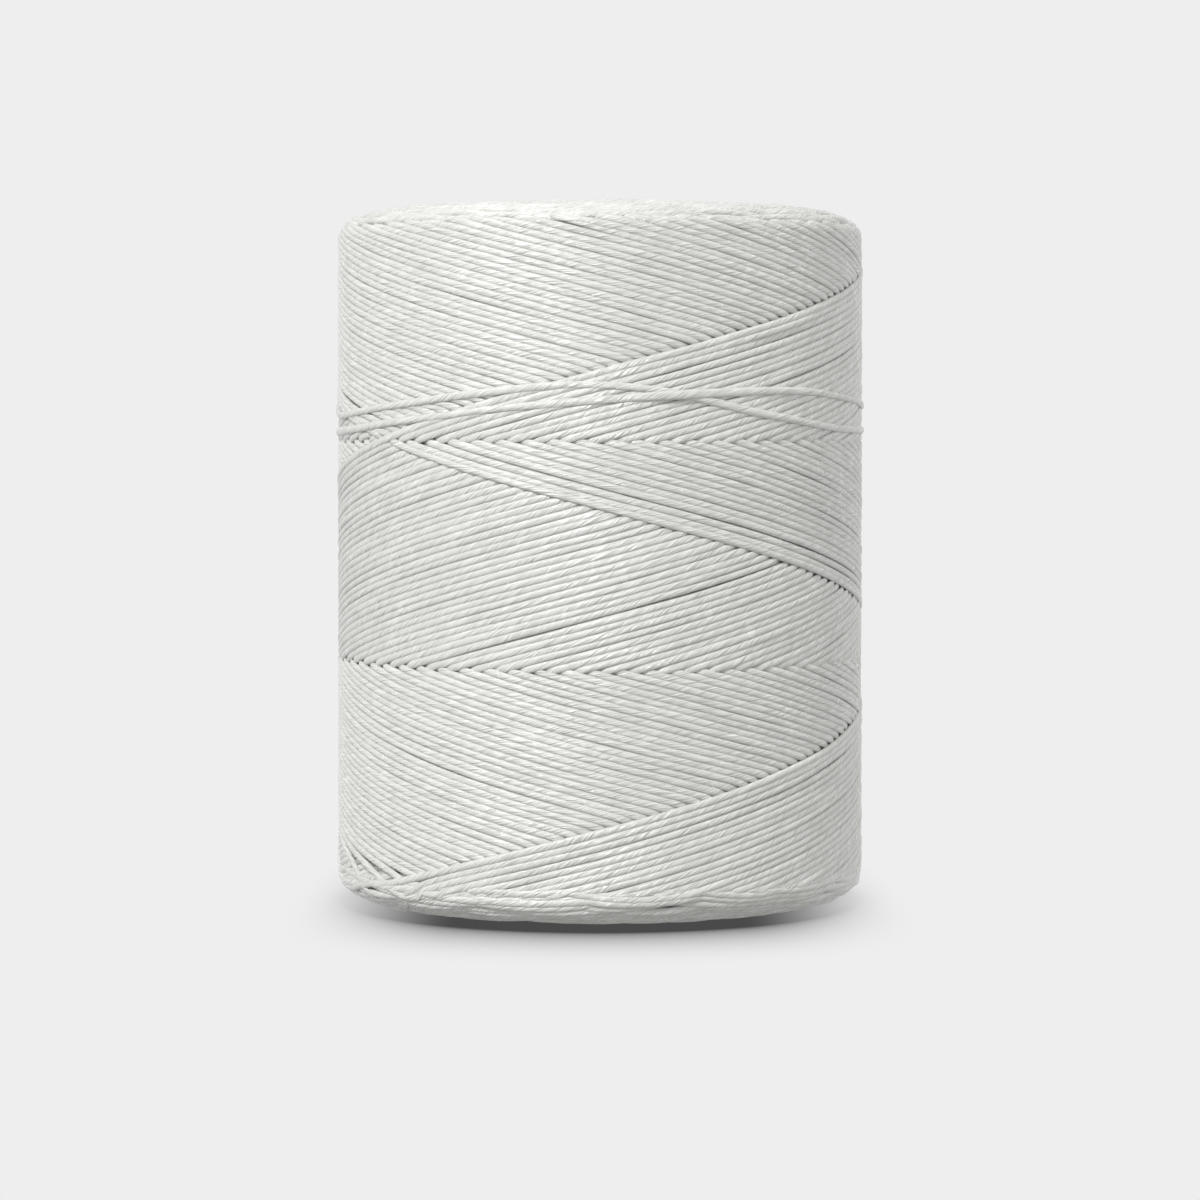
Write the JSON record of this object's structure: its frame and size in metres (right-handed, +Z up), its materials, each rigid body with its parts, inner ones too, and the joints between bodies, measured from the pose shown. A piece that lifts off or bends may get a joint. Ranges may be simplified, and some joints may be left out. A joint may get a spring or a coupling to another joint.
{
  "type": "waxed thread spool",
  "caption": "Cylindrical spool of waxed thread, cross-wound on an open paper tube, with the loose end wrapped round its waist.",
  "frame": {"origin": "centre of the paper tube's foot, on the surface that the spool stands on", "axes": "+Z up along the tube, -Y towards the viewer of the picture, +X to their right"},
  "size_m": [0.0717, 0.0725, 0.092],
  "materials": {
    "waxed_thread": "off-white waxed filament thread with a soft sheen",
    "liner_paper": "smooth brown kraft paper",
    "grey_board": "matt paperboard",
    "cover_paper": "matt brown kraft paper"
  },
  "bodies": {
    "root": {"core_liner": "liner_paper", "core_body_plies": "grey_board", "core_cover_ply": "cover_paper", "inner_windings": "waxed_thread", "outer_turns": "waxed_thread", "loose_end": "waxed_thread"}
  },
  "joints": []
}
